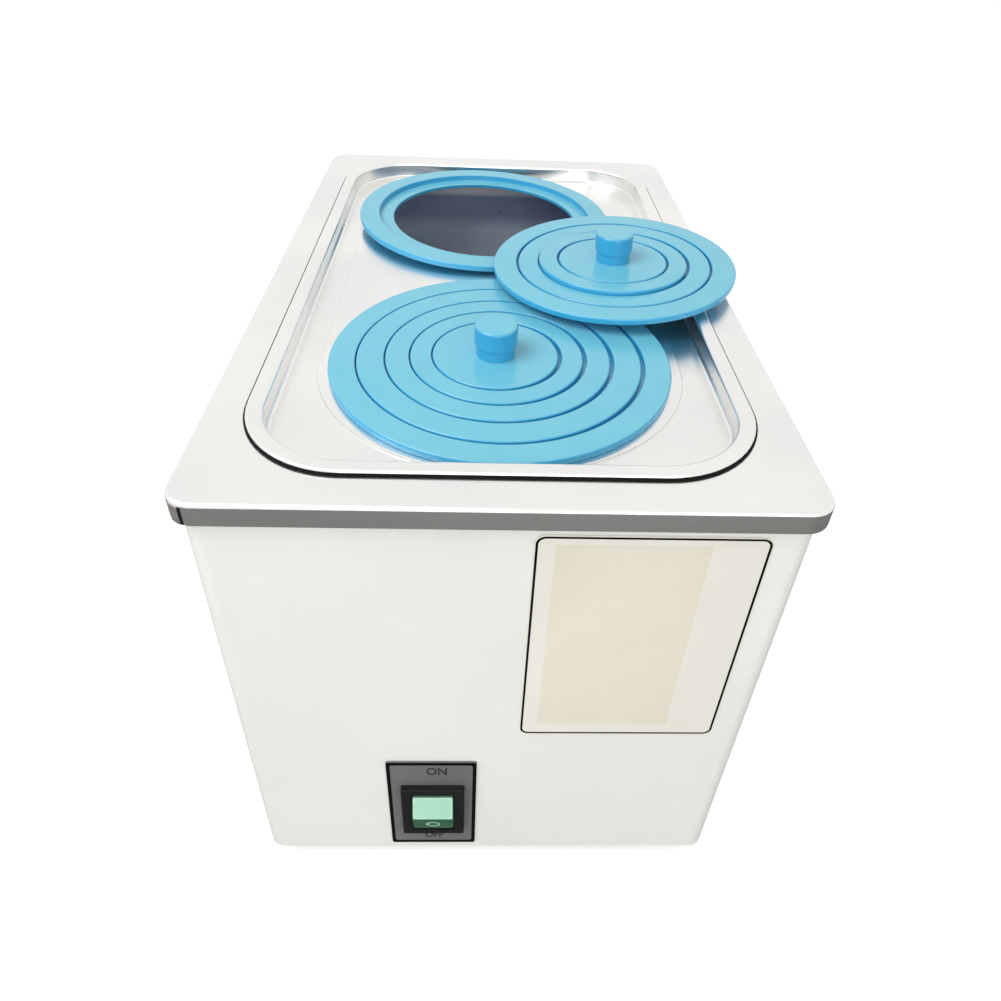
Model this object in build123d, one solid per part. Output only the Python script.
from build123d import *
import os
from math import atan, cos, degrees, radians, sin, tan

# Laboratory water bath for two vessels, with nested ring covers.
# Sizes are in millimetres. The origin lies on the table under the middle of the bath.
# +Z is up, -Y is the short end with the switch, -X is the long side with the controller.

# Overall sizes
BATH_WIDTH = 222.0
BATH_LENGTH = 352.0
BATH_HEIGHT = 240.0
FOOT_HEIGHT = 10.0

# Clearances
REST_GAP = 0.3
SLIDE_GAP = 0.25
CUT_OVERRUN = 1.0

# Top cover
COVER_SHEET = 1.0
COVER_CORNER = 14.0
COVER_LIP = 9.0
COVER_EDGE_ROUND = 1.5
COVER_TURN = 4.0

# Hole plate
PLATE_MARGIN = 15.6
PLATE_CORNER = 40.0
PLATE_RIM = 6.6
PLATE_RISE = 2.0
PLATE_SHEET = 1.0
PLATE_DEPTH = 7.0
PLATE_RIM_ROUND = 0.9
PAN_CLEARANCE = 1.7
SEAT_RISE = 1.0
SEAT_RADIUS = 75.5
HOLE_PITCH = 152.0
HOLE_RADIUS = 65.0

# Ring covers, from the outer ring to the lid
RING_RADII = (72.5, 60.5, 48.0, 37.0, 27.0)
RING_FLANGE = 3.0
RING_LEDGE = 2.0
RING_GAP = 1.0
SPIGOT_GAP = 0.8
RING_EDGE = 0.5
LAP_SHARE = 0.6
KNOB_RADIUS = 9.2
KNOB_NECK_RADIUS = 8.4
KNOB_NECK_HEIGHT = 5.0
KNOB_HEAD_HEIGHT = 9.0
KNOB_EDGE = 0.7
KNOB_SCREW_RADIUS = 2.0
KNOB_SCREW_HEAD_RADIUS = 4.0
KNOB_SCREW_HEAD_HEIGHT = 2.0
KNOB_SCREW_LENGTH = 14.0
NEST_SHIFT_X = -0.55
NEST_SHIFT_Y = 0.3
FRONT_RING_SHIFT_X = -0.2
FRONT_RING_SHIFT_Y = -0.75
BACK_RING_SLIP = 7.6
BACK_RING_DIRECTION = 162.0
LOOSE_SET_X = 57.5
LOOSE_SET_Y = 0.9
MISSEAT_SHIFT = 0.75
MISSEAT_TURN = 45.0

# Casing
CASING_INSET = 3.5
CASING_SHEET = 1.2
CASING_CORNER = 7.0
CASING_FLANGE = 14.0

# Base plate, feet and their screws
BASE_SHEET = 1.5
BASE_GAP = 0.4
BASE_SLOT_WIDTH = 4.0
BASE_SLOT_LENGTH = 42.0
BASE_SLOT_PITCH = 10.0
BASE_SLOT_COUNT = 7
BASE_SLOT_Y = 70.0
FOOT_RADIUS = 12.0
FOOT_TOE_RADIUS = 10.5
FOOT_INSET = 30.0
FOOT_BORE_RADIUS = 2.3
FOOT_RECESS_RADIUS = 5.0
FOOT_RECESS_DEPTH = 5.0
FOOT_SCREW_RADIUS = 2.0
FOOT_SCREW_HEAD_RADIUS = 4.0
FOOT_SCREW_HEAD_HEIGHT = 2.6
FOOT_SCREW_LENGTH = 12.0
BASE_SCREW_RADIUS = 1.45
BASE_SCREW_BORE_RADIUS = 1.7
BASE_SCREW_HEAD_RADIUS = 2.75
BASE_SCREW_HEAD_HEIGHT = 1.8
BASE_SCREW_LENGTH = 6.0

# Tank, its seal and its lagging
SEAL_THICKNESS = 1.5
SEAL_WIDTH = 7.0
TANK_SHEET = 1.0
TANK_DEPTH = 150.0
TANK_MOUTH_GAP = 0.5
TANK_FLANGE = 8.5
TANK_BOTTOM_ROUND = 5.0
FLANGE_LAP = 5.0
LAGGING_FLOOR = 7.0
LAGGING_GAP = 0.3
LAGGING_WINDOW_WIDTH = 156.0
LAGGING_WINDOW_HEIGHT = 34.0

# Heater and temperature probe
HEATER_RADIUS = 4.0
HEATER_BEND = 15.0
HEATER_LEG_X = 46.5
HEATER_LOOP_X = 15.5
HEATER_FAR_Y = -130.0
HEATER_NEAR_Y = 105.0
HEATER_RISE = 14.0
HEATER_TAIL = 10.0
PROBE_RADIUS = 3.0
PROBE_X = 30.0
PROBE_REACH = 80.0
COLLAR_EXTRA = 3.5
COLLAR_LENGTH = 3.0
WASHER_EXTRA = 4.5
WASHER_LENGTH = 2.0
NUT_EXTRA = 4.0
NUT_LENGTH = 5.0
FITTING_GAP = 0.2
SUPPORT_SHEET = 1.2
SUPPORT_FOOT = 9.0
SUPPORT_OVERHANG = 6.0
SUPPORT_YS = (-95.0, 70.0)

# Perforated shelf
SHELF_GAP = 3.0
SHELF_SHEET = 1.2
SHELF_RISE = 25.0
SHELF_HOLE_RADIUS = 6.0
SHELF_HOLE_PITCH = 32.0
SHELF_COLUMNS = 5
SHELF_ROWS = 9
SHELF_LEG_INSET = 9.0
SHELF_LEG_WIDTH = 34.0
SHELF_LEG_Y = 100.0
SHELF_LEG_TOE = 4.0

# Drain fitting and cap
DRAIN_RISE = 15.0
DRAIN_SHANK_RADIUS = 6.5
DRAIN_BORE_RADIUS = 4.0
DRAIN_FLANGE_RADIUS = 12.0
DRAIN_FLANGE = 2.0
DRAIN_STUB = 5.0
DRAIN_STUB_RADIUS = 6.5
DRAIN_INNER_REACH = 9.0
DRAIN_NUT_RADIUS = 9.5
DRAIN_WASHER_RADIUS = 9.5
CAP_RADIUS = 9.5
CAP_END = 1.0
CAP_FLUTES = 12
CAP_FLUTE_RADIUS = 1.0

# Thermal cut-out under the tank
CUTOUT_RADIUS = 8.0
CUTOUT_HEIGHT = 8.0
CUTOUT_X = 50.0
CUTOUT_Y = -100.0
CUTOUT_EAR = 13.0
CUTOUT_EAR_WIDTH = 7.0
CUTOUT_EAR_SHEET = 1.0
CUTOUT_ROOM = 15.0

# Switch
SWITCH_X = -26.5
SWITCH_PLATE_WIDTH = 38.6
SWITCH_PLATE_HEIGHT = 71.0
SWITCH_PLATE_Z = 51.0
SWITCH_PLATE_SHEET = 0.8
SWITCH_PLATE_CORNER = 1.5
SWITCH_Z = 48.8
BEZEL_WIDTH = 27.4
BEZEL_HEIGHT = 38.0
BEZEL_PROUD = 2.0
BEZEL_ROUND = 1.2
SWITCH_BODY_WIDTH = 23.6
SWITCH_BODY_HEIGHT = 34.4
SWITCH_BODY_DEPTH = 27.0
ROCKER_WIDTH = 19.0
ROCKER_HALF = 14.0
ROCKER_VALLEY = 5.0
ROCKER_ANGLE = 10.0
ROCKER_SKIRT = 4.0
ROCKER_HUB = 3.0
ROCKER_PIN_RADIUS = 1.5
ROCKER_PIN_GAP = 0.05
ROCKER_PIN_REACH = 1.3
ROCKER_SIDE_GAP = 0.4
ROCKER_END_GAP = 1.6
SWITCH_CAVITY_DEPTH = 15.0
TAB_WIDTH = 6.3
TAB_SHEET = 0.8
TAB_LENGTH = 8.0
TAB_PITCH_X = 11.0
TAB_PITCH_Z = 14.0

# Controller on the long side
CONTROL_Y = -60.0
CONTROL_Z = 48.0
CONTROL_WIDTH = 96.0
CONTROL_HEIGHT = 48.0
CONTROL_PROUD = 5.5
CONTROL_ROUND = 2.0
CASE_WIDTH = 91.0
CASE_HEIGHT = 44.0
CASE_DEPTH = 55.0
CASE_WALL = 1.5
PANEL_GAP = 0.4
WINDOW_WIDTH = 58.0
WINDOW_HEIGHT = 20.0
WINDOW_Y = 13.0
WINDOW_Z = 9.0
WINDOW_SHEET = 1.5
WINDOW_LEDGE = 2.0
WINDOW_SINK = 0.4
DIGITS_WIDTH = 50.0
DIGITS_HEIGHT = 14.0
DIGITS_DEPTH = 6.5
BOARD_SETBACK = 9.0
BOARD_SHEET = 1.6
BOARD_GAP = 0.5
KEY_WIDTH = 11.0
KEY_HEIGHT = 7.0
KEY_PROUD = 1.5
KEY_PITCH = 19.0
KEY_Z = -14.0
KEY_FLANGE = 1.2
KEY_FLANGE_EXTRA = 1.0
KEY_STEM_RADIUS = 1.6
KEY_STEM = 3.0
KEY_TRAVEL = 0.8
KEY_ROUND = 1.0
KEY_COUNT = 4
LAMP_RADIUS = 1.6
LAMP_Y = -32.0
LAMP_Z = 9.0
LAMP_PITCH = 8.0
LAMP_COUNT = 3
LAMP_PROUD = 0.6
LAMP_GAP = 0.1

# Power board
POWER_X = 15.0
POWER_Y = -10.0
POWER_WIDTH = 84.0
POWER_LENGTH = 110.0
POWER_RISE = 8.0
STANDOFF_RADIUS = 3.0
STANDOFF_INSET = 6.0
RELAY_WIDTH = 22.0
RELAY_LENGTH = 29.0
RELAY_HEIGHT = 18.0
RELAY_X = 20.0
RELAY_Y = 28.0
BLOCK_WIDTH = 12.0
BLOCK_LENGTH = 60.0
BLOCK_HEIGHT = 14.0
BLOCK_X = -28.0
BLOCK_WAYS = 6
BLOCK_PORT = 5.0

# Mains inlet with its fuse drawer
INLET_X = -60.0
INLET_Z = 46.0
INLET_WIDTH = 50.0
INLET_HEIGHT = 38.0
INLET_PROUD = 2.5
INLET_ROUND = 3.0
INLET_BODY_WIDTH = 30.0
INLET_BODY_HEIGHT = 32.0
INLET_BODY_DEPTH = 26.0
SOCKET_WIDTH = 24.4
SOCKET_HEIGHT = 16.6
SOCKET_CHAMFER = 4.5
SOCKET_DEPTH = 17.0
SOCKET_Z = 5.5
PIN_WIDTH = 2.0
PIN_HEIGHT = 4.0
PIN_LENGTH = 14.0
PIN_TAIL = 6.0
PIN_PITCH = 7.0
PIN_STAGGER = 4.0
DRAWER_WIDTH = 23.0
DRAWER_HEIGHT = 8.0
DRAWER_DEPTH = 23.0
DRAWER_Z = -9.5
DRAWER_WALL = 1.2
DRAWER_LIP = 1.5
DRAWER_LIP_LENGTH = 2.0
FUSE_RADIUS = 2.6
FUSE_LENGTH = 20.0
FUSE_PITCH = 10.0
FUSE_GAP = 0.2
INLET_SCREW_PITCH = 40.0
INLET_SCREW_RADIUS = 1.45
INLET_SCREW_HEAD_RADIUS = 2.9
INLET_SCREW_HEAD_HEIGHT = 1.5
INLET_SCREW_LENGTH = 7.0

# Vents in the back
VENT_X = 58.0
VENT_Z = 46.0
VENT_WIDTH = 4.0
VENT_HEIGHT = 34.0
VENT_PITCH = 10.0
VENT_COUNT = 6

# Label place on the front
LABEL_X = 51.4
LABEL_Z = 167.2
LABEL_WIDTH = 82.4
LABEL_HEIGHT = 117.4
LABEL_SHEET = 0.4
LABEL_CORNER = 4.0

# Values worked out from the sizes above
QUARTER_TURN = 90.0
HEXAGON_SIDES = 6
UP = (Align.CENTER, Align.CENTER, Align.MIN)
plate_width = BATH_WIDTH - 2 * PLATE_MARGIN
plate_length = BATH_LENGTH - 2 * PLATE_MARGIN
pan_width = plate_width - 2 * PLATE_RIM
pan_length = plate_length - 2 * PLATE_RIM
pan_corner = PLATE_CORNER - PLATE_RIM
opening_width = pan_width + 2 * PAN_CLEARANCE
opening_length = pan_length + 2 * PAN_CLEARANCE
opening_corner = pan_corner + PAN_CLEARANCE
mouth_offset = COVER_SHEET + TANK_MOUTH_GAP
tank_width = opening_width + 2 * mouth_offset
tank_length = opening_length + 2 * mouth_offset
tank_corner = opening_corner + mouth_offset
casing_width = BATH_WIDTH - 2 * CASING_INSET
casing_length = BATH_LENGTH - 2 * CASING_INSET
casing_side = casing_width / 2
casing_end = casing_length / 2
cover_under = BATH_HEIGHT - COVER_SHEET
tank_top = cover_under - SEAL_THICKNESS
casing_top = tank_top - TANK_SHEET
tank_floor = BATH_HEIGHT - TANK_DEPTH
tank_under = tank_floor - TANK_SHEET
tank_wall_y = tank_length / 2
base_top = FOOT_HEIGHT + BASE_SHEET
rim_top = BATH_HEIGHT + PLATE_RISE
pan_floor = BATH_HEIGHT - PLATE_DEPTH
seat_top = pan_floor + SEAT_RISE
ring_thickness = RING_FLANGE + RING_LEDGE
fitting_z = tank_floor + HEATER_RISE
drain_z = tank_floor + DRAIN_RISE
rocker_pivot_y = -casing_end - SWITCH_PLATE_SHEET - BEZEL_PROUD + ROCKER_VALLEY
control_face = -casing_side - CONTROL_PROUD


def rounded(width, length, radius):
    """A rounded rectangle in plan."""
    return RectangleRounded(width, length, radius)


def slab(outline, low, high):
    """An outline in plan, made solid from one height to another."""
    return extrude(Pos(0, 0, low) * outline, amount=high - low)


def block(xs, ys, zs):
    """A block between pairs of x, y and z."""
    size = Box(xs[1] - xs[0], ys[1] - ys[0], zs[1] - zs[0], align=(Align.MIN,) * 3)
    return Pos(xs[0], ys[0], zs[0]) * size


def middle(centre, size):
    """The pair of values that lie half a size to each side of a centre."""
    return centre - size / 2, centre + size / 2


def rod_x(radius, start, end, y, z):
    """A round rod along X."""
    return Pos(start, y, z) * Rot(0, QUARTER_TURN, 0) * Cylinder(radius, end - start, align=UP)


def rod_y(radius, start, end, x, z):
    """A round rod along Y."""
    return Pos(x, start, z) * Rot(-QUARTER_TURN, 0, 0) * Cylinder(radius, end - start, align=UP)


def rod_z(radius, low, high, x, y):
    """A round rod along Z."""
    return Pos(x, y, low) * Cylinder(radius, high - low, align=UP)


def hexagon_y(radius, start, end, x, z):
    """A hexagonal prism along Y."""
    prism = extrude(RegularPolygon(radius, HEXAGON_SIDES), amount=end - start)
    return Pos(x, start, z) * Rot(-QUARTER_TURN, 0, 0) * prism


def side_panel(outline, start, end, y, z):
    """An outline drawn on a plane that faces -X, made solid from one x to another."""
    plane = Plane(origin=(start, y, z), x_dir=(0, 1, 0), z_dir=(1, 0, 0))
    return extrude(plane * outline, amount=end - start)


def end_panel(outline, start, end, x, z):
    """An outline drawn on a plane across Y, made solid from one y to another."""
    plane = Plane(origin=(x, start, z), x_dir=(-1, 0, 0), z_dir=(0, 1, 0))
    return extrude(plane * outline, amount=end - start)


def corners(half_x, half_y):
    """The four corners of a rectangle about the origin."""
    return [(x, y) for x in (-half_x, half_x) for y in (-half_y, half_y)]


def together(pieces):
    """Several pieces as one shape, which may hold separate solids."""
    return Part() + list(pieces)


# Casing, base plate and feet


def foot_places():
    return corners(casing_side - FOOT_INSET, casing_end - FOOT_INSET)


def base_screw_places():
    x = casing_side - CASING_SHEET - CASING_FLANGE / 2
    y = casing_end - CASING_SHEET - CASING_FLANGE / 2
    return corners(x, casing_end / 2) + corners(casing_side / 2, y)


def vent_slots():
    slot = SlotOverall(VENT_HEIGHT, VENT_WIDTH, rotation=QUARTER_TURN)
    row = GridLocations(VENT_PITCH, 0, VENT_COUNT, 1) * slot
    reach = (casing_end - CASING_SHEET - CUT_OVERRUN, casing_end + CUT_OVERRUN)
    return [end_panel(each, *reach, VENT_X, VENT_Z) for each in row]


def outer_casing():
    outer = rounded(casing_width, casing_length, CASING_CORNER)
    inner = rounded(casing_width - 2 * CASING_SHEET, casing_length - 2 * CASING_SHEET,
                    CASING_CORNER - CASING_SHEET)
    flange_edge = CASING_SHEET + CASING_FLANGE
    bottom_opening = rounded(casing_width - 2 * flange_edge, casing_length - 2 * flange_edge,
                             CASING_CORNER)
    tank_room = 2 * (TANK_SHEET + TANK_FLANGE - FLANGE_LAP)
    top_opening = rounded(tank_width + tank_room, tank_length + tank_room, tank_corner)
    shell = slab(outer - inner, FOOT_HEIGHT, casing_top)
    shell += slab(inner - bottom_opening, base_top, base_top + CASING_SHEET)
    shell += slab(inner - top_opening, casing_top - CASING_SHEET, casing_top)
    front = (-casing_end - CUT_OVERRUN, -casing_end + CASING_SHEET + CUT_OVERRUN)
    back = (casing_end - CASING_SHEET - CUT_OVERRUN, casing_end + CUT_OVERRUN)
    side = (-casing_side - CUT_OVERRUN, -casing_side + CASING_SHEET + CUT_OVERRUN)
    shell -= block(middle(SWITCH_X, SWITCH_BODY_WIDTH + 2 * PANEL_GAP), front,
                   middle(SWITCH_Z, SWITCH_BODY_HEIGHT + 2 * PANEL_GAP))
    shell -= block(side, middle(CONTROL_Y, CASE_WIDTH + 2 * PANEL_GAP),
                   middle(CONTROL_Z, CASE_HEIGHT + 2 * PANEL_GAP))
    shell -= block(middle(INLET_X, INLET_BODY_WIDTH + 2 * PANEL_GAP), back,
                   middle(INLET_Z, INLET_BODY_HEIGHT + 2 * PANEL_GAP))
    shell -= rod_y(DRAIN_SHANK_RADIUS + PANEL_GAP, *back, 0, drain_z)
    for x in middle(INLET_X, INLET_SCREW_PITCH):
        shell -= rod_y(INLET_SCREW_RADIUS + FITTING_GAP, *back, x, INLET_Z)
    shell -= vent_slots()
    for x, y in base_screw_places():
        shell -= rod_z(BASE_SCREW_BORE_RADIUS, FOOT_HEIGHT, base_top + 2 * CASING_SHEET, x, y)
    return shell


def base_plate():
    inset = CASING_SHEET + BASE_GAP
    outline = rounded(casing_width - 2 * inset, casing_length - 2 * inset, CASING_CORNER - inset)
    slot = SlotOverall(BASE_SLOT_LENGTH, BASE_SLOT_WIDTH)
    for y in (-BASE_SLOT_Y, BASE_SLOT_Y):
        outline -= Pos(0, y) * GridLocations(0, BASE_SLOT_PITCH, 1, BASE_SLOT_COUNT) * slot
    plate = slab(outline, FOOT_HEIGHT, base_top)
    for x, y in foot_places():
        plate -= rod_z(FOOT_BORE_RADIUS, FOOT_HEIGHT - CUT_OVERRUN, base_top + CUT_OVERRUN, x, y)
    for x, y in base_screw_places():
        plate -= rod_z(BASE_SCREW_BORE_RADIUS, FOOT_HEIGHT - CUT_OVERRUN, base_top + CUT_OVERRUN, x, y)
    return plate


def feet():
    foot = Cone(FOOT_TOE_RADIUS, FOOT_RADIUS, FOOT_HEIGHT, align=UP)
    foot -= rod_z(FOOT_BORE_RADIUS, -CUT_OVERRUN, FOOT_HEIGHT + CUT_OVERRUN, 0, 0)
    foot -= rod_z(FOOT_RECESS_RADIUS, -CUT_OVERRUN, FOOT_RECESS_DEPTH, 0, 0)
    return together(Pos(x, y, 0) * foot for x, y in foot_places())


def foot_screws():
    head_low = FOOT_RECESS_DEPTH - FOOT_SCREW_HEAD_HEIGHT
    screw = rod_z(FOOT_SCREW_HEAD_RADIUS, head_low, FOOT_RECESS_DEPTH, 0, 0)
    screw += rod_z(FOOT_SCREW_RADIUS, head_low, FOOT_RECESS_DEPTH + FOOT_SCREW_LENGTH, 0, 0)
    return together(Pos(x, y, 0) * screw for x, y in foot_places())


def base_screws():
    screw = rod_z(BASE_SCREW_HEAD_RADIUS, FOOT_HEIGHT - BASE_SCREW_HEAD_HEIGHT, FOOT_HEIGHT, 0, 0)
    screw += rod_z(BASE_SCREW_RADIUS, FOOT_HEIGHT - BASE_SCREW_HEAD_HEIGHT,
                   FOOT_HEIGHT + BASE_SCREW_LENGTH, 0, 0)
    return together(Pos(x, y, 0) * screw for x, y in base_screw_places())


def label_plate():
    outline = rounded(LABEL_WIDTH, LABEL_HEIGHT, LABEL_CORNER)
    return end_panel(outline, -casing_end - LABEL_SHEET, -casing_end, LABEL_X, LABEL_Z)


# Top cover, seal, tank and lagging


def top_cover():
    outer = rounded(BATH_WIDTH, BATH_LENGTH, COVER_CORNER)
    inner = rounded(BATH_WIDTH - 2 * COVER_SHEET, BATH_LENGTH - 2 * COVER_SHEET,
                    COVER_CORNER - COVER_SHEET)
    opening = rounded(opening_width, opening_length, opening_corner)
    turned = rounded(opening_width + 2 * COVER_SHEET, opening_length + 2 * COVER_SHEET,
                     opening_corner + COVER_SHEET)
    cover = slab(outer, BATH_HEIGHT - COVER_LIP, BATH_HEIGHT)
    top_edges = cover.faces().sort_by(Axis.Z)[-1].edges()
    cover = fillet(top_edges, COVER_EDGE_ROUND)
    cover -= slab(inner, BATH_HEIGHT - COVER_LIP - CUT_OVERRUN, cover_under)
    cover += slab(turned, BATH_HEIGHT - COVER_TURN, cover_under)
    return cover - slab(opening, BATH_HEIGHT - COVER_LIP, BATH_HEIGHT + CUT_OVERRUN)


def tank_outline(growth):
    """The tank's inside in plan, grown by a distance all round."""
    return rounded(tank_width + 2 * growth, tank_length + 2 * growth, tank_corner + growth)


def tank_seal():
    inner = tank_outline(TANK_MOUTH_GAP)
    return slab(tank_outline(TANK_MOUTH_GAP + SEAL_WIDTH) - inner, tank_top, cover_under)


def water_tank():
    outside = slab(tank_outline(TANK_SHEET), tank_under, tank_top)
    outside = fillet(outside.faces().sort_by(Axis.Z)[0].edges(), TANK_BOTTOM_ROUND + TANK_SHEET)
    inside = slab(tank_outline(0), tank_floor, tank_top + CUT_OVERRUN)
    inside = fillet(inside.faces().sort_by(Axis.Z)[0].edges(), TANK_BOTTOM_ROUND)
    flange = slab(tank_outline(TANK_SHEET + TANK_FLANGE), casing_top, tank_top)
    tank = outside + flange - inside
    wall = (tank_wall_y - CUT_OVERRUN, tank_wall_y + TANK_SHEET + CUT_OVERRUN)
    for radius, x in wall_tubes():
        tank -= rod_y(radius + FITTING_GAP, *wall, x, fitting_z)
    return tank - rod_y(DRAIN_SHANK_RADIUS + FITTING_GAP, *wall, 0, drain_z)


def lagging():
    inset = CASING_SHEET + LAGGING_GAP
    outer = rounded(casing_width - 2 * inset, casing_length - 2 * inset, CASING_CORNER - inset)
    low = tank_under - LAGGING_FLOOR
    jacket = slab(outer, low, casing_top - CASING_SHEET)
    jacket -= slab(tank_outline(TANK_SHEET + LAGGING_GAP), tank_under, casing_top)
    jacket -= block(middle(0, LAGGING_WINDOW_WIDTH), (tank_wall_y, casing_end),
                    (tank_under, tank_under + LAGGING_WINDOW_HEIGHT))
    return jacket - rod_z(CUTOUT_ROOM, low - CUT_OVERRUN, tank_under, CUTOUT_X, CUTOUT_Y)


# Heater, probe and what holds them in the tank wall


def wall_tubes():
    """Radius and x of each tube that passes through the tank's end wall."""
    return [(HEATER_RADIUS, -HEATER_LEG_X), (HEATER_RADIUS, HEATER_LEG_X), (PROBE_RADIUS, PROBE_X)]


def collar(radius, x):
    """A collar fixed on a tube, just inside the washer on the tank's end wall."""
    end = tank_wall_y - WASHER_LENGTH
    return rod_y(radius + COLLAR_EXTRA, end - COLLAR_LENGTH, end, x, fitting_z)


def heater_tube():
    end_y = tank_wall_y + TANK_SHEET + WASHER_LENGTH + NUT_LENGTH + HEATER_TAIL / 2
    half = [(HEATER_LEG_X, end_y), (HEATER_LEG_X, HEATER_FAR_Y), (HEATER_LOOP_X, HEATER_FAR_Y),
            (HEATER_LOOP_X, HEATER_NEAR_Y)]
    points = half + [(-x, y) for x, y in reversed(half)]
    path = FilletPolyline(*[(x, y, fitting_z) for x, y in points], radius=HEATER_BEND)
    tube = sweep(Plane(origin=path @ 0, z_dir=path % 0) * Circle(HEATER_RADIUS), path=path)
    return tube + [collar(HEATER_RADIUS, x) for x in (-HEATER_LEG_X, HEATER_LEG_X)]


def heater_supports():
    half = HEATER_LEG_X + SUPPORT_OVERHANG
    pieces = []
    for y in SUPPORT_YS:
        web = block((-half, half), (y, y + SUPPORT_SHEET), (tank_floor, fitting_z))
        foot = block((-half, half), (y, y + SUPPORT_FOOT), (tank_floor, tank_floor + SUPPORT_SHEET))
        support = web + foot
        for x in (-HEATER_LEG_X, -HEATER_LOOP_X, HEATER_LOOP_X, HEATER_LEG_X):
            support -= rod_y(HEATER_RADIUS + FITTING_GAP, y - CUT_OVERRUN, y + SUPPORT_FOOT, x, fitting_z)
        pieces.append(support)
    return together(pieces)


def temperature_probe():
    end_y = tank_wall_y + TANK_SHEET + WASHER_LENGTH + NUT_LENGTH + HEATER_TAIL / 2
    tube = rod_y(PROBE_RADIUS, tank_wall_y - PROBE_REACH, end_y, PROBE_X, fitting_z)
    return tube + collar(PROBE_RADIUS, PROBE_X)


def tank_washers():
    pieces = []
    outside = tank_wall_y + TANK_SHEET
    for radius, x in wall_tubes():
        bore = rod_y(radius + FITTING_GAP, tank_wall_y - NUT_LENGTH, outside + NUT_LENGTH, x, fitting_z)
        for start in (tank_wall_y - WASHER_LENGTH, outside):
            ring = rod_y(radius + WASHER_EXTRA, start, start + WASHER_LENGTH, x, fitting_z)
            pieces.append(ring - bore)
    start = tank_wall_y - WASHER_LENGTH
    ring = rod_y(DRAIN_WASHER_RADIUS, start, tank_wall_y, 0, drain_z)
    ring -= rod_y(DRAIN_SHANK_RADIUS + FITTING_GAP, start - CUT_OVERRUN, outside, 0, drain_z)
    return together(pieces + [ring])


def tank_nuts():
    pieces = []
    start = tank_wall_y + TANK_SHEET + WASHER_LENGTH
    for radius, x in wall_tubes():
        nut = hexagon_y(radius + NUT_EXTRA, start, start + NUT_LENGTH, x, fitting_z)
        bore = rod_y(radius + FITTING_GAP, start - CUT_OVERRUN, start + 2 * NUT_LENGTH, x, fitting_z)
        pieces.append(nut - bore)
    end = tank_wall_y - WASHER_LENGTH
    nut = hexagon_y(DRAIN_NUT_RADIUS, end - NUT_LENGTH, end, 0, drain_z)
    nut -= rod_y(DRAIN_SHANK_RADIUS + FITTING_GAP, end - 2 * NUT_LENGTH, end + CUT_OVERRUN, 0, drain_z)
    return together(pieces + [nut])


def thermal_cutout():
    body = rod_z(CUTOUT_RADIUS, tank_under - CUTOUT_HEIGHT, tank_under, CUTOUT_X, CUTOUT_Y)
    body += block(middle(CUTOUT_X, 2 * CUTOUT_EAR), middle(CUTOUT_Y, CUTOUT_EAR_WIDTH),
                  (tank_under - CUTOUT_EAR_SHEET, tank_under))
    for x in middle(CUTOUT_X, CUTOUT_RADIUS):
        body += block(middle(x, TAB_SHEET), middle(CUTOUT_Y, TAB_WIDTH),
                      (tank_under - CUTOUT_HEIGHT - TAB_LENGTH, tank_under - CUTOUT_HEIGHT))
    return body


# Perforated shelf


def perforated_shelf():
    low = tank_floor + SHELF_RISE
    sheet = tank_outline(-SHELF_GAP)
    holes = GridLocations(SHELF_HOLE_PITCH, SHELF_HOLE_PITCH, SHELF_COLUMNS, SHELF_ROWS)
    sheet -= holes * Circle(SHELF_HOLE_RADIUS)
    shelf = slab(sheet, low, low + SHELF_SHEET)
    leg_x = tank_width / 2 - SHELF_GAP - SHELF_LEG_INSET
    for side in (-1, 1):
        for y in (-SHELF_LEG_Y, SHELF_LEG_Y):
            web = sorted((side * leg_x, side * (leg_x - SHELF_SHEET)))
            toe = sorted((side * leg_x, side * (leg_x - SHELF_LEG_TOE)))
            shelf += block(web, middle(y, SHELF_LEG_WIDTH), (tank_floor, low))
            shelf += block(toe, middle(y, SHELF_LEG_WIDTH), (tank_floor, tank_floor + SHELF_SHEET))
    return shelf


# Drain fitting and its screw cap


def drain_fitting():
    inner_end = tank_wall_y - DRAIN_INNER_REACH
    stub_end = casing_end + DRAIN_FLANGE + DRAIN_STUB
    fitting = rod_y(DRAIN_SHANK_RADIUS, inner_end, casing_end, 0, drain_z)
    fitting += rod_y(DRAIN_FLANGE_RADIUS, casing_end, casing_end + DRAIN_FLANGE, 0, drain_z)
    fitting += rod_y(DRAIN_STUB_RADIUS, casing_end, stub_end, 0, drain_z)
    return fitting - rod_y(DRAIN_BORE_RADIUS, inner_end - CUT_OVERRUN, stub_end + CUT_OVERRUN, 0, drain_z)


def drain_cap():
    start = casing_end + DRAIN_FLANGE + REST_GAP
    cavity_end = casing_end + DRAIN_FLANGE + DRAIN_STUB + REST_GAP
    outline = Circle(CAP_RADIUS) - PolarLocations(CAP_RADIUS, CAP_FLUTES) * Circle(CAP_FLUTE_RADIUS)
    cap = end_panel(outline, start, cavity_end + CAP_END, 0, drain_z)
    return cap - rod_y(DRAIN_STUB_RADIUS + REST_GAP, start - CUT_OVERRUN, cavity_end, 0, drain_z)


# Hole plate


def seat_outline(growth):
    """The raised seat round both holes, grown by a distance all round."""
    return SlotCenterToCenter(HOLE_PITCH, 2 * (SEAT_RADIUS + growth), rotation=QUARTER_TURN)


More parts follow.
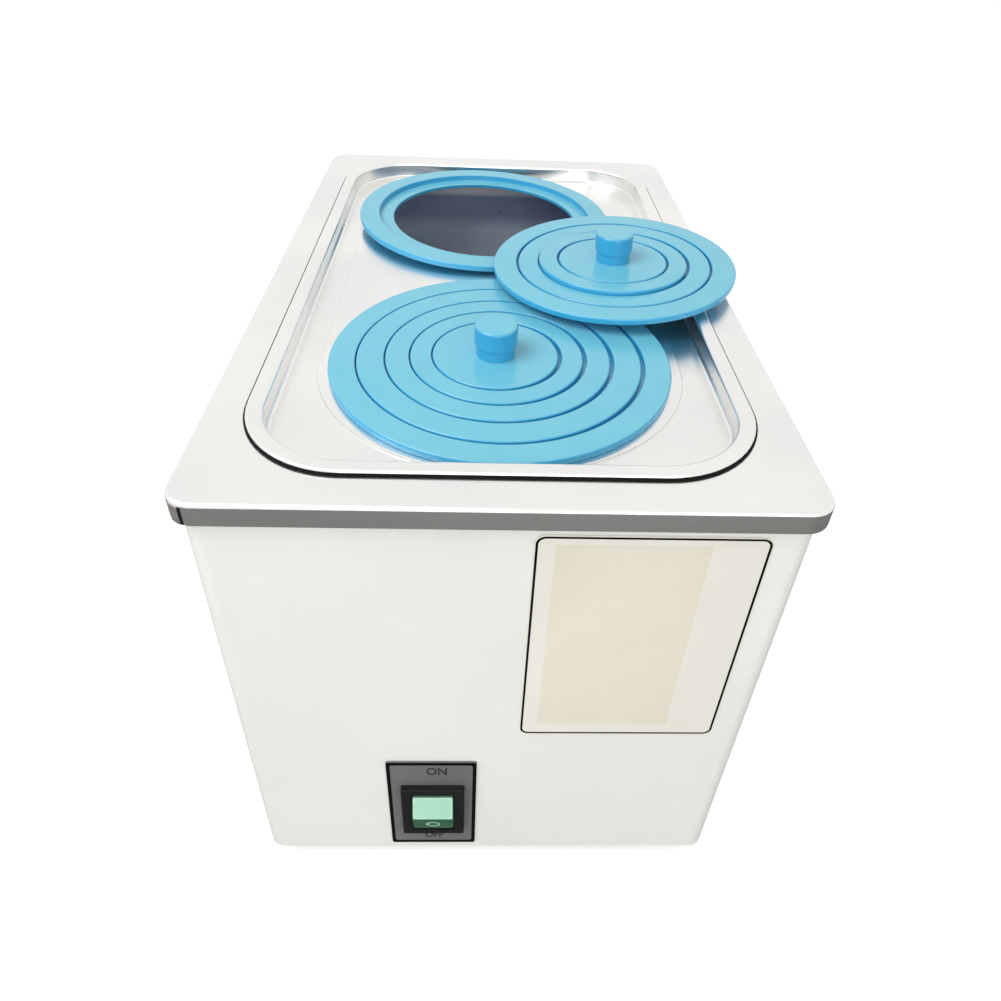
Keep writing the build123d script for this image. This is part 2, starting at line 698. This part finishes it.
def hole_plate():
    outer = rounded(plate_width, plate_length, PLATE_CORNER)
    rim_inner = rounded(plate_width - 2 * PLATE_SHEET, plate_length - 2 * PLATE_SHEET,
                        PLATE_CORNER - PLATE_SHEET)
    pan_outer = rounded(pan_width, pan_length, pan_corner)
    pan_inner = rounded(pan_width - 2 * PLATE_SHEET, pan_length - 2 * PLATE_SHEET,
                        pan_corner - PLATE_SHEET)
    plate = slab(outer - pan_inner, BATH_HEIGHT + REST_GAP, rim_top)
    top = plate.faces().sort_by(Axis.Z)[-1]
    plate = fillet(top.edges(), PLATE_RIM_ROUND)
    plate -= slab(rim_inner - pan_outer, BATH_HEIGHT, rim_top - PLATE_SHEET)
    plate += slab(pan_outer - pan_inner, pan_floor - PLATE_SHEET, BATH_HEIGHT + REST_GAP)
    plate += slab(pan_inner - seat_outline(0), pan_floor - PLATE_SHEET, pan_floor)
    plate += slab(seat_outline(0) - seat_outline(-PLATE_SHEET), pan_floor - PLATE_SHEET, seat_top)
    plate += slab(seat_outline(-PLATE_SHEET), seat_top - PLATE_SHEET, seat_top)
    for y in middle(0, HOLE_PITCH):
        plate -= rod_z(HOLE_RADIUS, pan_floor - 2 * PLATE_SHEET, seat_top + CUT_OVERRUN, 0, y)
    return plate


# Ring covers


def lower_opening(index):
    """Radius of the clear opening of a ring, and the seat for the spigot of the next piece."""
    outer, inner = RING_RADII[index], RING_RADII[index + 1]
    return inner - LAP_SHARE * (outer - inner)


def spigot_radius(index):
    """Radius of the lower part of a ring or lid, which drops into the opening that holds it."""
    return (HOLE_RADIUS if index == 0 else lower_opening(index - 1)) - SPIGOT_GAP


def flange_and_spigot(index):
    """The solid form of a ring or lid before its opening is cut, with its top face at zero."""
    flange = rod_z(RING_RADII[index], -RING_FLANGE, 0, 0, 0)
    flange = chamfer(flange.faces().sort_by(Axis.Z)[-1].edges(), RING_EDGE)
    return flange + rod_z(spigot_radius(index), -ring_thickness, -RING_FLANGE, 0, 0)


def ring(index):
    body = flange_and_spigot(index)
    body -= rod_z(RING_RADII[index + 1] + RING_GAP, -RING_FLANGE, CUT_OVERRUN, 0, 0)
    return body - rod_z(lower_opening(index), -2 * ring_thickness, CUT_OVERRUN, 0, 0)


def lid():
    body = flange_and_spigot(len(RING_RADII) - 1)
    body -= rod_z(KNOB_SCREW_RADIUS + FITTING_GAP, -2 * ring_thickness, CUT_OVERRUN, 0, 0)
    recess_top = KNOB_SCREW_HEAD_HEIGHT - ring_thickness
    return body - rod_z(KNOB_SCREW_HEAD_RADIUS + FITTING_GAP, -2 * ring_thickness, recess_top, 0, 0)


def knob():
    head_low = KNOB_NECK_HEIGHT
    head_high = KNOB_NECK_HEIGHT + KNOB_HEAD_HEIGHT
    head = rod_z(KNOB_RADIUS, head_low, head_high, 0, 0)
    head = chamfer(head.faces().sort_by(Axis.Z)[-1].edges(), KNOB_EDGE)
    body = head + rod_z(KNOB_NECK_RADIUS, 0, head_low, 0, 0)
    bore_top = KNOB_SCREW_HEAD_HEIGHT - ring_thickness + KNOB_SCREW_LENGTH + REST_GAP
    return body - rod_z(KNOB_SCREW_RADIUS + FITTING_GAP, -CUT_OVERRUN, bore_top, 0, 0)


def knob_screw():
    low = -ring_thickness
    head_top = low + KNOB_SCREW_HEAD_HEIGHT
    screw = rod_z(KNOB_SCREW_HEAD_RADIUS, low, head_top, 0, 0)
    return screw + rod_z(KNOB_SCREW_RADIUS, low, head_top + KNOB_SCREW_LENGTH, 0, 0)


def tilt_towards(direction, angle):
    """A turn that raises the side that faces a compass direction, counted from +X."""
    return Rot(0, 0, direction) * Rot(0, -angle, 0) * Rot(0, 0, -direction)


nest_step = Pos(NEST_SHIFT_X, NEST_SHIFT_Y, 0)
ring_top = seat_top + RING_FLANGE
front_place = Pos(FRONT_RING_SHIFT_X, -HOLE_PITCH / 2 + FRONT_RING_SHIFT_Y, ring_top)

# The outer ring at the back has slipped off its place. On the side it slipped to, its spigot rides
# on the hole's edge. On the other side its flange lies on the seat.
def edge_crossing(radius):
    """How far from the hole's middle a circle of the slipped ring crosses the hole's edge."""
    return (HOLE_RADIUS ** 2 + BACK_RING_SLIP ** 2 - radius ** 2) / (2 * BACK_RING_SLIP)


flange_reach = edge_crossing(RING_RADII[0])
back_slope = RING_LEDGE / (edge_crossing(spigot_radius(0)) - flange_reach)
slip_x = cos(radians(BACK_RING_DIRECTION))
slip_y = sin(radians(BACK_RING_DIRECTION))


def back_ring_top(x, y):
    """Height of the back ring's upper face over a place in plan."""
    reach = slip_x * x + slip_y * (y - HOLE_PITCH / 2)
    return ring_top + REST_GAP + back_slope * (reach - flange_reach)


back_x = BACK_RING_SLIP * slip_x
back_y = HOLE_PITCH / 2 + BACK_RING_SLIP * slip_y
back_tilt = tilt_towards(BACK_RING_DIRECTION, degrees(atan(back_slope)))
back_place = Pos(back_x, back_y, back_ring_top(back_x, back_y)) * back_tilt

# The loose set lies on the back ring at the left and on the plate's rim at the right.
loose_left_x = LOOSE_SET_X - spigot_radius(1)
loose_left_z = back_ring_top(loose_left_x, LOOSE_SET_Y) + REST_GAP
loose_right_x = pan_width / 2
loose_slope = (rim_top + REST_GAP - loose_left_z) / (loose_right_x - loose_left_x)
loose_tilt = degrees(atan(loose_slope))
loose_top_z = loose_left_z + loose_slope * (LOOSE_SET_X - loose_left_x) + ring_thickness
loose_place = Pos(LOOSE_SET_X, LOOSE_SET_Y, loose_top_z) * tilt_towards(0, loose_tilt)

# In the loose set the fourth ring sits with its spigot on the third ring's ledge at the front left.
misseat_direction = 2 * QUARTER_TURN + MISSEAT_TURN
misseat_angle = degrees(atan(RING_LEDGE / (spigot_radius(3) + RING_RADII[3])))
misseat_lift = RING_RADII[3] * sin(radians(misseat_angle)) + REST_GAP / 2
misseat_move = Rot(0, 0, misseat_direction) * Pos(MISSEAT_SHIFT, 0, misseat_lift)
misseat_place = loose_place * misseat_move * Rot(0, 0, -misseat_direction)
misseat_place = misseat_place * tilt_towards(misseat_direction, misseat_angle)


def covers():
    """Each ring, lid, knob and screw with its name."""
    pieces = {}
    place = front_place
    for index in range(len(RING_RADII) - 1):
        pieces[f"front_ring_{index + 1}"] = place * ring(index)
        place = place * nest_step
    pieces["front_lid"] = place * lid()
    pieces["front_knob"] = place * knob()
    pieces["front_knob_screw"] = place * knob_screw()
    pieces["back_ring_1"] = back_place * ring(0)
    pieces["loose_ring_2"] = loose_place * ring(1)
    pieces["loose_ring_3"] = loose_place * ring(2)
    pieces["loose_ring_4"] = misseat_place * ring(3)
    pieces["loose_lid"] = misseat_place * lid()
    pieces["loose_knob"] = misseat_place * knob()
    pieces["loose_knob_screw"] = misseat_place * knob_screw()
    return pieces


# Switch


def switch_plate():
    outline = rounded(SWITCH_PLATE_WIDTH, SWITCH_PLATE_HEIGHT, SWITCH_PLATE_CORNER)
    plate = end_panel(outline, -casing_end - SWITCH_PLATE_SHEET, -casing_end, SWITCH_X, SWITCH_PLATE_Z)
    return plate - block(middle(SWITCH_X, SWITCH_BODY_WIDTH + 2 * PANEL_GAP),
                         (-casing_end - CUT_OVERRUN, -casing_end + CUT_OVERRUN),
                         middle(SWITCH_Z, SWITCH_BODY_HEIGHT + 2 * PANEL_GAP))


def switch_housing():
    face = -casing_end - SWITCH_PLATE_SHEET
    bezel = end_panel(rounded(BEZEL_WIDTH, BEZEL_HEIGHT, BEZEL_ROUND), face - BEZEL_PROUD, face,
                      SWITCH_X, SWITCH_Z)
    body = block(middle(SWITCH_X, SWITCH_BODY_WIDTH), (face, face + SWITCH_BODY_DEPTH),
                 middle(SWITCH_Z, SWITCH_BODY_HEIGHT))
    room_width = ROCKER_WIDTH + 2 * ROCKER_SIDE_GAP
    room_height = 2 * (ROCKER_HALF + ROCKER_END_GAP)
    room = block(middle(SWITCH_X, room_width),
                 (face - BEZEL_PROUD - CUT_OVERRUN, face - BEZEL_PROUD + SWITCH_CAVITY_DEPTH),
                 middle(SWITCH_Z, room_height))
    pin_length = ROCKER_WIDTH + 2 * ROCKER_SIDE_GAP + 2 * ROCKER_PIN_REACH + 2 * ROCKER_PIN_GAP
    bore = rod_x(ROCKER_PIN_RADIUS + ROCKER_PIN_GAP, *middle(SWITCH_X, pin_length),
                 rocker_pivot_y, SWITCH_Z)
    return bezel + body - room - bore


def switch_rocker():
    edge = ROCKER_VALLEY + ROCKER_HALF * tan(radians(ROCKER_ANGLE))
    side = edge - ROCKER_SKIRT
    upper = [(ROCKER_VALLEY, 0), (edge, ROCKER_HALF), (side, ROCKER_HALF), (-ROCKER_HUB, ROCKER_HUB)]
    lower = [(u, -v) for u, v in reversed(upper[1:])]
    plane = Plane(origin=(0, 0, 0), x_dir=(0, -1, 0), z_dir=(-1, 0, 0))
    body = extrude(plane * Polygon(*upper, *lower, align=None), amount=ROCKER_WIDTH / 2, both=True)
    body += rod_x(ROCKER_HUB, *middle(0, ROCKER_WIDTH), 0, 0)
    pin_length = ROCKER_WIDTH + 2 * ROCKER_SIDE_GAP + 2 * ROCKER_PIN_REACH
    body += rod_x(ROCKER_PIN_RADIUS, *middle(0, pin_length), 0, 0)
    return Pos(SWITCH_X, rocker_pivot_y, SWITCH_Z) * Rot(-ROCKER_ANGLE, 0, 0) * body


def switch_terminals():
    start = -casing_end - SWITCH_PLATE_SHEET + SWITCH_BODY_DEPTH
    return together(block(middle(SWITCH_X + x, TAB_SHEET), (start, start + TAB_LENGTH),
                          middle(SWITCH_Z + z, TAB_WIDTH))
                    for x, z in corners(TAB_PITCH_X / 2, TAB_PITCH_Z / 2))


# Controller


def key_ys():
    return [KEY_PITCH * (index - (KEY_COUNT - 1) / 2) for index in range(KEY_COUNT)]


def lamp_zs():
    return [LAMP_Z + LAMP_PITCH * (index - (LAMP_COUNT - 1) / 2) for index in range(LAMP_COUNT)]


def control_panel(outline, start, end, y, z):
    """An outline on the controller's face, placed from the middle of the controller."""
    return side_panel(outline, start, end, CONTROL_Y + y, CONTROL_Z + z)


def controller_bezel():
    back = -casing_side
    bezel = control_panel(rounded(CONTROL_WIDTH, CONTROL_HEIGHT, CONTROL_ROUND), control_face, back, 0, 0)
    pocket_end = control_face + WINDOW_SINK + WINDOW_SHEET + SLIDE_GAP
    pocket = Rectangle(WINDOW_WIDTH, WINDOW_HEIGHT)
    bezel -= control_panel(pocket, control_face - CUT_OVERRUN, pocket_end, WINDOW_Y, WINDOW_Z)
    view = Rectangle(WINDOW_WIDTH - 2 * WINDOW_LEDGE, WINDOW_HEIGHT - 2 * WINDOW_LEDGE)
    bezel -= control_panel(view, control_face, back + CUT_OVERRUN, WINDOW_Y, WINDOW_Z)
    hole = rounded(KEY_WIDTH + 2 * SLIDE_GAP, KEY_HEIGHT + 2 * SLIDE_GAP, KEY_ROUND)
    for y in key_ys():
        bezel -= control_panel(hole, control_face - CUT_OVERRUN, back + CUT_OVERRUN, y, KEY_Z)
    for z in lamp_zs():
        bezel -= control_panel(Circle(LAMP_RADIUS + LAMP_GAP), control_face - CUT_OVERRUN,
                               back + CUT_OVERRUN, LAMP_Y, z)
    return bezel


def controller_case():
    start, end = -casing_side, -casing_side + CASE_DEPTH
    case = control_panel(Rectangle(CASE_WIDTH, CASE_HEIGHT), start, end, 0, 0)
    room = Rectangle(CASE_WIDTH - 2 * CASE_WALL, CASE_HEIGHT - 2 * CASE_WALL)
    return case - control_panel(room, start - CUT_OVERRUN, end - CASE_WALL, 0, 0)


def display_window():
    start = control_face + WINDOW_SINK
    pane = Rectangle(WINDOW_WIDTH - 2 * SLIDE_GAP, WINDOW_HEIGHT - 2 * SLIDE_GAP)
    return control_panel(pane, start, start + WINDOW_SHEET, WINDOW_Y, WINDOW_Z)


def digit_display():
    board = -casing_side + BOARD_SETBACK
    return control_panel(Rectangle(DIGITS_WIDTH, DIGITS_HEIGHT), board - DIGITS_DEPTH, board,
                         WINDOW_Y, WINDOW_Z)


def controller_board():
    start = -casing_side + BOARD_SETBACK
    inner = CASE_WALL + BOARD_GAP
    board = control_panel(Rectangle(CASE_WIDTH - 2 * inner, CASE_HEIGHT - 2 * inner),
                          start, start + BOARD_SHEET, 0, 0)
    stem_end = -casing_side + SLIDE_GAP + KEY_FLANGE + KEY_STEM
    for y in key_ys():
        board += control_panel(Rectangle(TAB_WIDTH, TAB_WIDTH), stem_end + KEY_TRAVEL + SLIDE_GAP,
                               start, y, KEY_Z)
    return board


def controller_keys():
    """Each key with its name: a cap, a flange behind the bezel, and a stem."""
    back = -casing_side + SLIDE_GAP
    pieces = {}
    for index, y in enumerate(key_ys()):
        cap = control_panel(rounded(KEY_WIDTH, KEY_HEIGHT, KEY_ROUND), control_face - KEY_PROUD, back,
                            y, KEY_Z)
        wide = Rectangle(KEY_WIDTH + 2 * KEY_FLANGE_EXTRA, KEY_HEIGHT + 2 * KEY_FLANGE_EXTRA)
        cap += control_panel(wide, back, back + KEY_FLANGE, y, KEY_Z)
        cap += rod_x(KEY_STEM_RADIUS, back, back + KEY_FLANGE + KEY_STEM, CONTROL_Y + y,
                     CONTROL_Z + KEY_Z)
        pieces[f"controller_key_{index + 1}"] = cap
    return pieces


def indicator_lamps():
    return together(rod_x(LAMP_RADIUS, control_face - LAMP_PROUD, -casing_side,
                          CONTROL_Y + LAMP_Y, CONTROL_Z + z) for z in lamp_zs())


# Power board


def power_board():
    low = base_top + POWER_RISE
    board = slab(Rectangle(POWER_WIDTH, POWER_LENGTH), low, low + BOARD_SHEET)
    posts = corners(POWER_WIDTH / 2 - STANDOFF_INSET, POWER_LENGTH / 2 - STANDOFF_INSET)
    for x, y in posts:
        board += rod_z(STANDOFF_RADIUS, base_top, low, x, y)
    return Pos(POWER_X, POWER_Y, 0) * board


def power_relay():
    low = base_top + POWER_RISE + BOARD_SHEET
    return block(middle(POWER_X + RELAY_X, RELAY_WIDTH), middle(POWER_Y + RELAY_Y, RELAY_LENGTH),
                 (low, low + RELAY_HEIGHT))


def terminal_block():
    low = base_top + POWER_RISE + BOARD_SHEET
    x = POWER_X + BLOCK_X
    body = block(middle(x, BLOCK_WIDTH), middle(POWER_Y, BLOCK_LENGTH), (low, low + BLOCK_HEIGHT))
    pitch = BLOCK_LENGTH / BLOCK_WAYS
    for index in range(BLOCK_WAYS):
        y = POWER_Y + pitch * (index - (BLOCK_WAYS - 1) / 2)
        body -= block((x, x + BLOCK_WIDTH), middle(y, BLOCK_PORT),
                      middle(low + BLOCK_HEIGHT / 2, BLOCK_PORT))
        body -= rod_z(BLOCK_PORT / 2, low + BLOCK_HEIGHT - BLOCK_PORT / 2, low + 2 * BLOCK_HEIGHT, x, y)
    return body


# Mains inlet


def pin_places():
    """The three pins of the inlet, from the middle of the socket."""
    return [(-PIN_PITCH, -PIN_STAGGER / 2), (PIN_PITCH, -PIN_STAGGER / 2), (0, PIN_STAGGER / 2)]


def inlet_socket():
    face = casing_end + INLET_PROUD
    flange = end_panel(rounded(INLET_WIDTH, INLET_HEIGHT, INLET_ROUND), casing_end, face,
                       INLET_X, INLET_Z)
    body = block(middle(INLET_X, INLET_BODY_WIDTH), (casing_end - INLET_BODY_DEPTH, casing_end),
                 middle(INLET_Z, INLET_BODY_HEIGHT))
    inlet = flange + body
    half, up = SOCKET_WIDTH / 2, SOCKET_HEIGHT / 2
    outline = Polygon((-half, -up), (half, -up), (half, up - SOCKET_CHAMFER),
                      (half - SOCKET_CHAMFER, up), (SOCKET_CHAMFER - half, up),
                      (-half, up - SOCKET_CHAMFER), align=None)
    inlet -= end_panel(outline, face - SOCKET_DEPTH, face + CUT_OVERRUN, INLET_X, INLET_Z + SOCKET_Z)
    slot = Rectangle(DRAWER_WIDTH + 2 * SLIDE_GAP, DRAWER_HEIGHT + 2 * SLIDE_GAP)
    inlet -= end_panel(slot, face - DRAWER_DEPTH - SLIDE_GAP, face + CUT_OVERRUN,
                       INLET_X, INLET_Z + DRAWER_Z)
    for x, z in pin_places():
        inlet -= block(middle(INLET_X + x, PIN_WIDTH + 2 * LAMP_GAP),
                       (casing_end - INLET_BODY_DEPTH - CUT_OVERRUN, face),
                       middle(INLET_Z + SOCKET_Z + z, PIN_HEIGHT + 2 * LAMP_GAP))
    for x in middle(INLET_X, INLET_SCREW_PITCH):
        inlet -= rod_y(INLET_SCREW_RADIUS + FITTING_GAP, casing_end - CUT_OVERRUN, face + CUT_OVERRUN,
                       x, INLET_Z)
        inlet -= rod_y(INLET_SCREW_HEAD_RADIUS + FITTING_GAP, face - INLET_SCREW_HEAD_HEIGHT,
                       face + CUT_OVERRUN, x, INLET_Z)
    return inlet


def inlet_pins():
    floor = casing_end + INLET_PROUD - SOCKET_DEPTH
    tail = casing_end - INLET_BODY_DEPTH - PIN_TAIL
    return together(block(middle(INLET_X + x, PIN_WIDTH), (tail, floor + PIN_LENGTH),
                          middle(INLET_Z + SOCKET_Z + z, PIN_HEIGHT)) for x, z in pin_places())


def inlet_screws():
    face = casing_end + INLET_PROUD
    screws = []
    for x in middle(INLET_X, INLET_SCREW_PITCH):
        screw = rod_y(INLET_SCREW_HEAD_RADIUS, face - INLET_SCREW_HEAD_HEIGHT, face, x, INLET_Z)
        screws.append(screw + rod_y(INLET_SCREW_RADIUS, face - INLET_SCREW_LENGTH, face, x, INLET_Z))
    return together(screws)


def fuse_xs():
    return middle(INLET_X, FUSE_PITCH)


def fuse_drawer():
    face = casing_end + INLET_PROUD
    centre_z = INLET_Z + DRAWER_Z
    tray = block(middle(INLET_X, DRAWER_WIDTH), (face - DRAWER_DEPTH, face),
                 middle(centre_z, DRAWER_HEIGHT))
    top = centre_z + DRAWER_HEIGHT / 2
    room_low = centre_z - DRAWER_HEIGHT / 2 + DRAWER_WALL
    room = (face - DRAWER_DEPTH + DRAWER_WALL, face - DRAWER_DEPTH + DRAWER_WALL + FUSE_LENGTH + FUSE_GAP)
    for x in fuse_xs():
        tray -= block(middle(x, 2 * FUSE_RADIUS + 2 * FUSE_GAP), room, (room_low, top + CUT_OVERRUN))
    lip = block(middle(INLET_X, DRAWER_WIDTH), (face, face + DRAWER_LIP),
                (top - DRAWER_LIP_LENGTH, top))
    return tray + lip


def fuses():
    face = casing_end + INLET_PROUD
    low = INLET_Z + DRAWER_Z - DRAWER_HEIGHT / 2 + DRAWER_WALL
    start = face - DRAWER_DEPTH + DRAWER_WALL + FUSE_GAP / 2
    return together(rod_y(FUSE_RADIUS, start, start + FUSE_LENGTH, x, low + FUSE_RADIUS)
                    for x in fuse_xs())


def all_pieces():
    pieces = {
        "outer_casing": outer_casing(),
        "base_plate": base_plate(),
        "feet": feet(),
        "foot_screws": foot_screws(),
        "base_screws": base_screws(),
        "label_plate": label_plate(),
        "top_cover": top_cover(),
        "tank_seal": tank_seal(),
        "water_tank": water_tank(),
        "lagging": lagging(),
        "heater_tube": heater_tube(),
        "heater_supports": heater_supports(),
        "temperature_probe": temperature_probe(),
        "tank_washers": tank_washers(),
        "tank_nuts": tank_nuts(),
        "thermal_cutout": thermal_cutout(),
        "perforated_shelf": perforated_shelf(),
        "drain_fitting": drain_fitting(),
        "drain_cap": drain_cap(),
        "hole_plate": hole_plate(),
        "switch_plate": switch_plate(),
        "switch_housing": switch_housing(),
        "switch_rocker": switch_rocker(),
        "switch_terminals": switch_terminals(),
        "controller_bezel": controller_bezel(),
        "controller_case": controller_case(),
        "display_window": display_window(),
        "digit_display": digit_display(),
        "controller_board": controller_board(),
        "indicator_lamps": indicator_lamps(),
        "power_board": power_board(),
        "power_relay": power_relay(),
        "terminal_block": terminal_block(),
        "inlet_socket": inlet_socket(),
        "inlet_pins": inlet_pins(),
        "inlet_screws": inlet_screws(),
        "fuse_drawer": fuse_drawer(),
        "fuses": fuses(),
    }
    pieces.update(controller_keys())
    pieces.update(covers())
    return pieces


def main():
    os.makedirs("parts", exist_ok=True)
    for name, shape in all_pieces().items():
        export_step(shape, f"parts/{name}.step")
        print(name, len(shape.solids()), "solids", round(shape.volume), "cubic mm")
    print("loose set tilt", round(loose_tilt, 3), "top", round(loose_top_z, 3))
    print("loose set misseat", round(misseat_angle, 3), "direction", misseat_direction)
    print("back ring tilt", round(degrees(atan(back_slope)), 3))


main()
